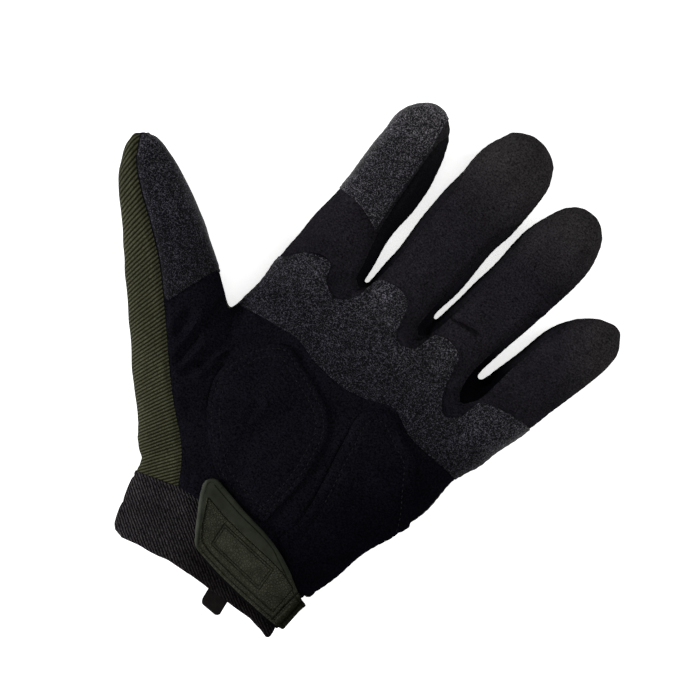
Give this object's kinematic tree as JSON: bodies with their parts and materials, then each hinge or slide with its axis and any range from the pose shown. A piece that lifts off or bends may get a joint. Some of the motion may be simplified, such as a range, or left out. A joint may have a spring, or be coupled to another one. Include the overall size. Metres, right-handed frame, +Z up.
{
  "type": "mechanic glove",
  "caption": "Left-hand mechanic glove lying palm up, with black suede palm, rubber grip patches, olive ribbed back and a rubber wrist tab.",
  "frame": {"origin": "on the flat stretch of the back panel that the glove lies on, under the middle of the palm", "axes": "+Z up out of the palm, +Y along the fingers, +X towards the little finger"},
  "size_m": [0.2057, 0.2288, 0.0317],
  "materials": {
    "suede": "black suede-like synthetic leather with a short nap",
    "olive_cloth": "olive stretch cloth with fine slanting ribs",
    "side_cloth": "black smooth stretch cloth",
    "grip_rubber": "black rubber with a fine worm grain",
    "cuff_knit": "black knit with fine slanting ribs",
    "hook_loop": "black hook and loop strap",
    "olive_rubber": "olive moulded rubber with a fine leathery grain",
    "tape": "black woven tape"
  },
  "bodies": {
    "root": {"palm_panel": "suede", "back_panel": "olive_cloth", "fourchette_index_middle": "side_cloth", "fourchette_middle_ring": "side_cloth", "fourchette_ring_little": "side_cloth", "palm_grip_patch": "grip_rubber", "index_grip_patch": "grip_rubber", "thumb_grip_patch": "grip_rubber", "thenar_pad": "suede", "heel_pad": "suede", "cuff_band": "cuff_knit", "closure_strap": "hook_loop", "closure_tab": "olive_rubber", "pull_tab": "tape"}
  },
  "joints": []
}
